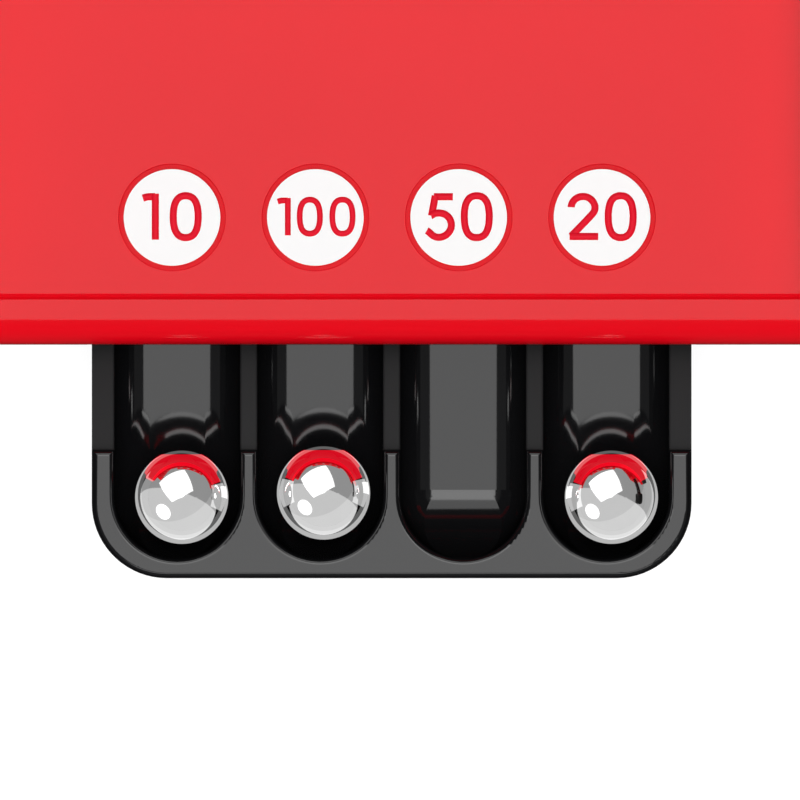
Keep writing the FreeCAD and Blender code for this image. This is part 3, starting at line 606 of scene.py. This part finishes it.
def fluted_knob():
    """A moulded knob with flutes round its grip and a dished front."""
    low, high = flat_box("plunger_knob")
    middle = (low + high) / 2
    deselect()
    bpy.ops.mesh.primitive_circle_add(
        vertices=FLUTES * 4, radius=KNOB_STEPS[0][1], fill_type="NGON",
        location=(middle.x, low.y, middle.z), rotation=(math.pi / 2, 0, 0))
    knob = bpy.context.object
    bpy.ops.object.transform_apply(location=True, rotation=True, scale=True)
    edit(knob)
    bpy.ops.mesh.select_all(action="SELECT")
    bpy.ops.mesh.extrude_region_move(
        TRANSFORM_OT_translate={"value": (0, KNOB_STEPS[1][0], 0)})
    steps = KNOB_STEPS[1:] + ((high.y - low.y, KNOB_STEPS[-1][1]),)
    for n, (back, wide) in enumerate(steps):
        if n:
            bpy.ops.mesh.extrude_region_move(
                TRANSFORM_OT_translate={"value": (0, back - steps[n - 1][0], 0)})
        before = KNOB_STEPS[n][1]
        bpy.ops.transform.resize(value=(wide / before, 1, wide / before),
                                 center_override=(middle.x, low.y + back, middle.z))
    bpy.ops.mesh.select_all(action="SELECT")
    bpy.ops.mesh.normals_make_consistent(inside=False)
    grip = low.y + (KNOB_STEPS[3][0] + KNOB_STEPS[4][0]) / 2

    def in_flute(spot, normal):
        turn = math.atan2(spot.z - middle.z, spot.x - middle.x) / (2 * math.pi) * FLUTES
        return abs(spot.y - grip) < 1 and turn % 1 < 0.5

    choose(knob, in_flute)
    bpy.ops.mesh.inset(thickness=FLUTE_EDGE, depth=-FLUTE_DEEP)
    choose(knob, lambda spot, normal: spot.y < low.y + 0.01)
    bpy.ops.mesh.inset(thickness=FRONT_LAND, depth=0)
    bpy.ops.mesh.inset(thickness=DISH_EDGE, depth=-DISH_DEEP)
    done()
    edge = knob.modifiers.new("edge", "BEVEL")
    edge.width, edge.segments, edge.limit_method = KNOB_BEVEL, 2, "ANGLE"
    edge.angle_limit = math.radians(28)
    apply_all(knob)
    bpy.ops.object.shade_smooth_by_angle(angle=math.radians(40))
    knob.name = "fluted_knob"
    set_in_place(knob, CASE_BLACK, "plunger")
    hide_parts("plunger_knob")


# ------------------------------------------------------------------ plunger spring
WIRE = 0.4
TURNS = 11
TURN_STEPS = 24
WIRE_SIDES = 10


def coiled_spring():
    """Round wire wound round the rod."""
    low, high = flat_box("plunger_spring")
    middle, wound = (low + high) / 2, (high.x - low.x) / 2 - WIRE
    deselect()
    bpy.ops.mesh.primitive_circle_add(vertices=WIRE_SIDES, radius=WIRE,
                                      location=(middle.x, low.y + WIRE, middle.z))
    spring = bpy.context.object
    edit(spring)
    bpy.ops.mesh.select_all(action="SELECT")
    bpy.ops.transform.translate(value=(wound, 0, 0))
    done()
    coil = spring.modifiers.new("coil", "SCREW")
    coil.axis, coil.iterations, coil.angle = "Y", TURNS, 2 * math.pi
    coil.screw_offset = (high.y - low.y - 2 * WIRE) / TURNS
    coil.steps = coil.render_steps = TURN_STEPS
    take(spring)
    bpy.ops.object.modifier_apply(modifier=coil.name)
    edit(spring)
    bpy.ops.mesh.select_mode(type="EDGE")
    bpy.ops.mesh.select_non_manifold()
    bpy.ops.mesh.fill_holes(sides=WIRE_SIDES)
    bpy.ops.mesh.select_all(action="SELECT")
    bpy.ops.mesh.normals_make_consistent(inside=False)
    done()
    bpy.ops.object.shade_smooth_by_angle(angle=math.radians(50))
    spring.name = "coiled_spring"
    set_in_place(spring, SPRING_STEEL, "case")
    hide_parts("plunger_spring")
    length = high.y - low.y
    pulled = max(JOINTS["plunger_pull"]["range_m"]) / MM
    (length - pulled) / length
    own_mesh(spring)


print_discs()
disc_surrounds()
print_field()
fluted_knob()
coiled_spring()

# ------------------------------------------------------------------ studio
# The middle of the view on the board, how far off the camera stands and how wide its view
# is, in board millimetres. It looks square down on the board. The rest is in metres.
AIM = Vector((0.98, -6.5, DECK))
CAMERA_FAR = 4000.0
VIEW_WIDE = 93.6
CLIP_NEAR, CLIP_FAR = 0.1, 20.0
FLOOR_WIDE = 12
FLOOR_GLOW = 0.90


def make_camera():
    data = bpy.data.cameras.new("camera")
    camera = bpy.data.objects.new("camera", data)
    bpy.context.scene.collection.objects.link(camera)
    stand = BOARD @ (AIM + Vector((0, 0, CAMERA_FAR)))
    camera.matrix_world = Matrix.Translation(stand) @ LEAN
    data.lens = data.sensor_width * CAMERA_FAR / VIEW_WIDE
    data.clip_start, data.clip_end = CLIP_NEAR, CLIP_FAR
    bpy.context.scene.camera = camera


def direction(from_zenith, azimuth):
    """From the board, at an angle from its zenith; azimuth 0 is up the board, 90 right."""
    high, turn = math.radians(from_zenith), math.radians(azimuth)
    return Vector((math.sin(turn) * math.sin(high), math.cos(turn) * math.sin(high),
                   math.cos(high)))


def new_light(name, kind, back):
    """A light that shines against the world direction given, unseen by the camera."""
    light = bpy.data.objects.new(name, bpy.data.lights.new(name, kind))
    bpy.context.scene.collection.objects.link(light)
    light.rotation_mode = "QUATERNION"
    light.rotation_quaternion = back.to_track_quat("Z", "Y")
    light.visible_camera = False
    return light


def flat_light(name, aim, away, far, half_wide, half_high, radiance, shape="DISK"):
    """A disc or rectangle of light some way off its aim, in board millimetres. Radiance 1
    is plain white. It is turned by its two rounded points: the rims of the balls show the
    two rim lights, which lie in one plane, as that rounding sets them."""
    stand = BOARD @ (aim + away * far)
    light = new_light(name, "AREA", (stand - BOARD @ aim).normalized())
    light.location = stand
    data = light.data
    data.shape = "ELLIPSE" if shape == "DISK" else "RECTANGLE"
    data.size, data.size_y = 2 * half_wide * MM, 2 * half_high * MM
    area = data.size * data.size_y * (math.pi / 4 if shape == "DISK" else 1)
    data.energy = radiance * math.pi * area
    return light


def panel(name, from_zenith, azimuth, far, half_angle, radiance, shape="DISK", stretch=1.0):
    """A large light above the board, aimed at the middle of the view."""
    half_wide = far * math.tan(math.radians(half_angle))
    return flat_light(name, AIM, direction(from_zenith, azimuth), far, half_wide,
                      half_wide * stretch, radiance, shape)


def sky(name, from_zenith, azimuth, half_angle, radiance):
    """Even light from everywhere within an angle of one direction."""
    light = new_light(name, "SUN", LEAN @ direction(from_zenith, azimuth))
    light.data.angle = math.radians(2 * half_angle)
    light.data.energy = radiance * math.pi * math.sin(math.radians(half_angle)) ** 2
    return light


def linked(light, kind, nodes, state="INCLUDE"):
    """Names the CAD nodes that a light reaches, or that shade it, or those it leaves out."""
    group = bpy.data.collections.new(light.name + "_" + kind)
    for node in nodes:
        group.objects.link(NODES[node])
    setattr(light.light_linking, kind + "_collection", group)
    for entry in group.collection_objects:
        entry.light_linking.link_state = state
    return light


# Ray Depth counts a light seen in a piece as 1 or 2, and a light seen in a piece that is
# itself mirrored in another as 3.
SEEN_DEPTH, MIRRORED_DEPTH, DEPTH_SPAN = 1.5, 3, 0.6


def by_bounce(light, mirrored):
    """The light shows in its pieces as looked at, or only in their mirror image."""
    light.data.use_nodes = True
    tree = light.data.node_tree
    path = tree.nodes.new("ShaderNodeLightPath")
    test = tree.nodes.new("ShaderNodeMath")
    test.operation = "COMPARE"
    test.inputs[1].default_value = MIRRORED_DEPTH if mirrored else SEEN_DEPTH
    test.inputs[2].default_value = DEPTH_SPAN
    tree.links.new(path.outputs["Ray Depth"], test.inputs[0])
    tree.links.new(test.outputs[0], tree.nodes["Emission"].inputs["Strength"])
    return light


def floor():
    """A pale floor. It is clear from below, and polished pieces don't mirror it."""
    deselect()
    bpy.ops.mesh.primitive_plane_add(size=FLOOR_WIDE)
    plane = bpy.context.object
    plane.name = "floor"
    made = Finish("floor", Roughness=0.9, Specular_IOR_Level=0.0)
    spot = made.node("ShaderNodeTexCoord", out="Object")
    cloud = made.noise(spot, 3.0, 3.0)
    made.set("Base Color", made.mix(cloud, (0.22, 0.22, 0.22, 1), (0.24, 0.24, 0.24, 1)))
    made.set("Emission Color", (1, 1, 1, 1))
    made.set("Emission Strength", FLOOR_GLOW)
    behind = made.node("ShaderNodeNewGeometry", out="Backfacing")
    mirrored = made.node("ShaderNodeLightPath", out="Is Glossy Ray")
    glass = made.node("ShaderNodeBsdfTransparent")
    solid = Wire(made, made.shader.outputs[0])
    both = made.node("ShaderNodeMixShader", {}, {0: behind + mirrored, 1: solid, 2: glass})
    made.tree.links.new(both.socket, made.tree.nodes["Material Output"].inputs["Surface"])
    plane.data.materials.append(made.material)


def world():
    """Pale to look at, but dim as a light, so that black plastic stays black."""
    made = bpy.data.worlds.new("studio")
    made.use_nodes = True
    tree = made.node_tree
    bpy.context.scene.world = made
    dim = tree.nodes["Background"]
    dim.inputs["Color"].default_value = (0.035, 0.035, 0.036, 1)
    pale = tree.nodes.new("ShaderNodeBackground")
    pale.inputs["Color"].default_value = (0.93, 0.93, 0.93, 1)
    path = tree.nodes.new("ShaderNodeLightPath")
    both = tree.nodes.new("ShaderNodeMixShader")
    tree.links.new(path.outputs["Is Camera Ray"], both.inputs[0])
    tree.links.new(dim.outputs[0], both.inputs[1])
    tree.links.new(pale.outputs[0], both.inputs[2])
    tree.links.new(both.outputs[0], tree.nodes["World Output"].inputs["Surface"])


TRAY = ("ball_tray",)
BALLS = ("ball_10", "ball_100", "ball_20")
# Pieces that get no light from the soft panels all round, which would veil them.
SEEN_FROM_ABOVE = TRAY + BALLS + ("front_lip", "playfield") + tuple(
    "score_disc_" + label for label in DISCS)


def light_the_board():
    """A softbox overhead with a halo round it, fills that leave no glint, and soft panels
    all round that give the rails, the nails and the case their sheen from the sides."""
    softbox = panel("softbox", 0, 0, far=1300, half_angle=19, radiance=2.4)
    halo = panel("halo", 0, 0, far=900, half_angle=46, radiance=0.2)
    linked(softbox, "receiver", BALLS, "EXCLUDE")
    linked(halo, "receiver", BALLS + TRAY, "EXCLUDE")
    for light in (softbox, halo):
        by_bounce(light, False)
    for light in (panel("fill", 0, 0, far=1200, half_angle=30, radiance=1.95),
                  panel("front_fill", 62, 180, far=1200, half_angle=16, radiance=2.6)):
        light.visible_glossy = False
    for turn in (20, 110, 200, 290):
        around = panel("around_%d" % turn, 68, turn, far=1400, half_angle=24, radiance=0.9)
        linked(around, "receiver", SEEN_FROM_ABOVE, "EXCLUDE")


def light_the_tray():
    """Cards that the polished lanes and rim of the tray mirror."""
    for light in (panel("tray_card", 32, 180, far=1300, half_angle=19, radiance=2.15,
                        shape="RECTANGLE", stretch=0.3),
                  panel("tray_halo", 32, 180, far=900, half_angle=50, radiance=0.15),
                  panel("tray_back_card", 28, 0, far=1300, half_angle=18, radiance=1.9,
                        shape="RECTANGLE", stretch=1.25)):
        linked(light, "receiver", TRAY)
        by_bounce(light, False)


def light_the_balls():
    """The balls are lit apart: a pale sky in parts, a window and a round lamp."""
    for light in (
            sky("ball_sky_top", 0, 0, half_angle=89.9, radiance=0.26),
            sky("ball_sky_under", 180, 0, half_angle=89.9, radiance=0.28),
            sky("ball_sky_front", 75, 198, half_angle=87, radiance=0.30),
            sky("ball_sky_right", 130, 150, half_angle=80, radiance=0.09),
            sky("ball_rim", 180, 0, half_angle=60, radiance=0.10),
            panel("ball_window", 34, -24, far=1200, half_angle=34, radiance=1.0,
                  shape="RECTANGLE", stretch=0.96),
            panel("ball_lamp", 61, 232, far=1200, half_angle=17.5, radiance=1.0)):
        linked(light, "receiver", BALLS)
        linked(light, "blocker", ())
        by_bounce(light, False)


CARD_FAR = 1.0


def card(name, ball, away, offset, half_wide, half_high, radiance, shape="RECTANGLE"):
    """A light a few millimetres from one ball's middle, seen in that ball alone. It stays
    where the ball rests when the ball or the tray moves. Its aim is offset from the middle,
    and it stands a step away from its aim."""
    low, high = flat_box(ball)
    light = flat_light("%s_%s" % (name, ball), (low + high) / 2 + Vector(offset), away,
                       CARD_FAR, half_wide, half_high, radiance, shape)
    linked(light, "receiver", (ball,))
    linked(light, "blocker", ())
    return by_bounce(light, False)


RED_LIGHT = (1.0, 0.004, 0.020)
# For each ball: how far its red card is moved right and how wide it is, the side of its
# bright chip, and the sides where a wall of its lane would show black.
NEAR_CARDS = {"ball_10": (1.5, 10.9, 1, (1,)), "ball_100": (0, 12.4, 1, (1, -1)),
              "ball_20": (-1.5, 10.9, -1, (-1,))}


def card_the_balls():
    """Close to each ball a red card behind it, a pale rim round it, a bright chip and grey
    cards beside it."""
    behind, under = direction(90, 0), direction(180, 0)
    for ball, (shift, wide, chip_side, walls) in NEAR_CARDS.items():
        red = card("red_card", ball, behind, offset=(shift, 4.03, 0.7), half_wide=wide,
                   half_high=3.6, radiance=0.72)
        red.data.color = RED_LIGHT
        card("rim_card", ball, under, offset=(0, -0.9, 2.0), half_wide=6.3, half_high=6.3,
             radiance=0.38, shape="DISK")
        card("rim_glow", ball, under, offset=(0, -3.0, 2.0), half_wide=9.2, half_high=9.2,
             radiance=0.12, shape="DISK")
        card("chip", ball, direction(90, 90 * chip_side), offset=(5.6 * chip_side, 0.80, 0.71),
             half_wide=0.95, half_high=1.36, radiance=0.7)
        for side in walls:
            card("wall_card_%d" % side, ball, direction(90, 90 * side),
                 offset=(4.9 * side, 0.10, 2.95), half_wide=2.1, half_high=1.65,
                 radiance=0.42)


def light_the_mirrored_balls():
    """What the balls show where the tray mirrors them: a box above and a strip behind."""
    for light in (panel("mirror_box", 0, 0, far=1300, half_angle=19, radiance=3.6),
                  flat_light("mirror_back", Vector((0, -1.1, DECK - 4.77)), direction(90, 0),
                             far=CARD_FAR, half_wide=35.8, half_high=1.65, radiance=3.0,
                             shape="RECTANGLE")):
        linked(light, "receiver", BALLS)
        by_bounce(light, True)


make_camera()
floor()
world()
light_the_board()
light_the_tray()
light_the_balls()
card_the_balls()
light_the_mirrored_balls()

scene = bpy.context.scene
scene.view_settings.view_transform = "Standard"
scene.view_settings.look = "None"
